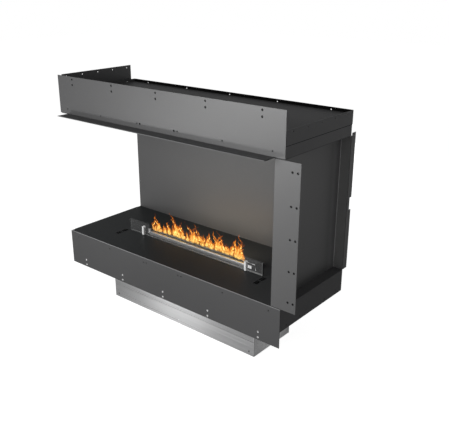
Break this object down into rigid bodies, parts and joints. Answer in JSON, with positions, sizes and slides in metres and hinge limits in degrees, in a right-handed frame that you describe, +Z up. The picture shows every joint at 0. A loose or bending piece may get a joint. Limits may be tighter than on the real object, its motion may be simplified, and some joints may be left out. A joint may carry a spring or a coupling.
{
  "type": "corner fireplace insert",
  "caption": "Steel corner fireplace insert open at the front and left, with a drop-in bioethanol burner, glass screen, tank and wall flange.",
  "frame": {"origin": "middle of the overall footprint, at the underside of the burner tank", "axes": "+X to the right along the front, +Y to the rear, +Z up"},
  "size_m": [1.264, 0.527, 1.041],
  "materials": {
    "coat": "fine satin powder coat, anthracite",
    "front_coat": "fine satin powder coat, anthracite",
    "hearth_coat": "smooth semi-gloss heat-proof black coat",
    "screw_black": "blackened steel",
    "tank_steel": "brushed along its length",
    "burner_steel": "satin stainless, heat-tinted at the slot",
    "polished_steel": "polished stainless",
    "heat_black": "scorched steel",
    "wick_ceramic": "porous",
    "insulation": "pressed mineral fibre board",
    "float_plastic": "moulded",
    "black_plastic": "moulded",
    "board_green": "lacquered circuit board",
    "lead_rubber": "matt sleeve",
    "screen_glass": "clear tempered"
  },
  "bodies": {
    "casing": {"hood_front_panel": "front_coat", "hood_left_panel": "coat", "hood_rim": "coat", "hood_cover": "coat", "hood_tray": "coat", "insulation_board": "insulation", "ceiling_plate": "coat", "hood_screws": "screw_black", "side_panel": "coat", "back_panel": "coat", "rear_uprights": "coat", "hearth_plate": "hearth_coat", "base_frame": "coat", "base_floor": "coat", "front_apron": "front_coat", "left_apron": "coat", "apron_screws": "screw_black", "tank_shell": "tank_steel", "tank_rim": "tank_steel", "burner_deck": "tank_steel", "burner_trough": "burner_steel", "flame_grate": "heat_black", "burner_wick": "wick_ceramic", "fuel_cell": "tank_steel", "fuel_cell_lid": "tank_steel", "level_stem": "polished_steel", "filler_neck": "polished_steel", "fuel_pump": "black_plastic", "suction_pipe": "burner_steel", "feed_pipe": "burner_steel", "igniter": "wick_ceramic", "control_box": "burner_steel", "button_switch": "black_plastic", "electronics_tray": "tank_steel", "control_board": "board_green", "sensor_lead": "lead_rubber", "fan_frame": "black_plastic", "power_inlet": "black_plastic", "glass_holders": "polished_steel"},
    "glass": {"glass_pane": "screen_glass"},
    "cap": {"filler_cap": "polished_steel"},
    "button": {"start_button": "polished_steel"},
    "float": {"level_float": "float_plastic"},
    "rotor": {"fan_rotor": "black_plastic"}
  },
  "joints": [
    {"name": "glass_lift", "type": "slide", "parent": "casing", "child": "glass", "axis": [0, 0, 1], "range_m": [0, 0.08]},
    {"name": "cap_lift", "type": "slide", "parent": "casing", "child": "cap", "axis": [0, 0, 1], "range_m": [0, 0.04]},
    {"name": "button_press", "type": "slide", "parent": "casing", "child": "button", "axis": [0, 1, 0], "range_m": [0, 0.0018], "stiffness_N_per_m": 400},
    {"name": "float_rise", "type": "slide", "parent": "casing", "child": "float", "axis": [0, 0, 1], "range_m": [0, 0.15]},
    {"name": "fan_spin", "type": "hinge", "parent": "casing", "child": "rotor", "pos_m": [0.32825, -0.065, 0.305], "axis": [0, 0, 1], "continuous": true}
  ]
}
